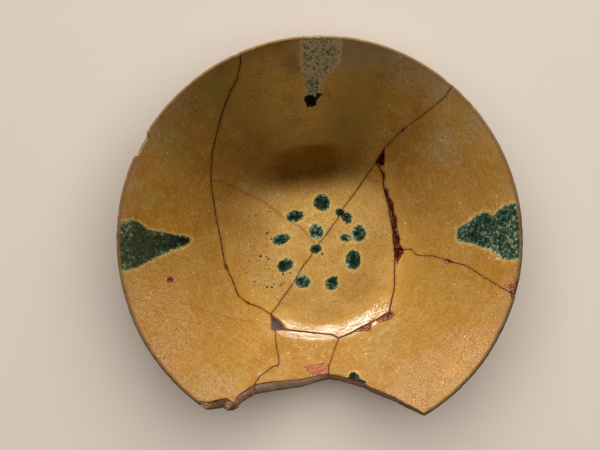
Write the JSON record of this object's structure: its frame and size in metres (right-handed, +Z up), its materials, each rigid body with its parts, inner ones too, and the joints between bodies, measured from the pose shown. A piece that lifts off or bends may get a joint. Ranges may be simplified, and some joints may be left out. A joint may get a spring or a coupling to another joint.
{
  "type": "broken and rejoined glazed bowl",
  "caption": "Amber-glazed earthenware bowl with green dots and splashes, broken into sherds, rejoined, with a section of the wall and rim lost.",
  "frame": {"origin": "centre of the flat underside of the foot, on the bowl's axis", "axes": "+Z up along the bowl's axis, out of its mouth; the lost section of the rim faces -Y; +X to the right when looking down into the bowl with the lost section at the bottom"},
  "size_m": [0.24, 0.2253, 0.0659],
  "materials": {
    "amber_glazed_earthenware": "worn satin lead glaze, amber yellow with copper green dots and splashes, over a reddish clay that is bare on the breaks and the foot"
  },
  "bodies": {
    "root": {"left_wall_sherd": "amber_glazed_earthenware", "top_wall_sherd": "amber_glazed_earthenware", "floor_left_sherd": "amber_glazed_earthenware", "floor_right_sherd": "amber_glazed_earthenware", "right_upper_sherd": "amber_glazed_earthenware", "right_lower_sherd": "amber_glazed_earthenware", "lower_middle_sherd": "amber_glazed_earthenware"}
  },
  "joints": []
}
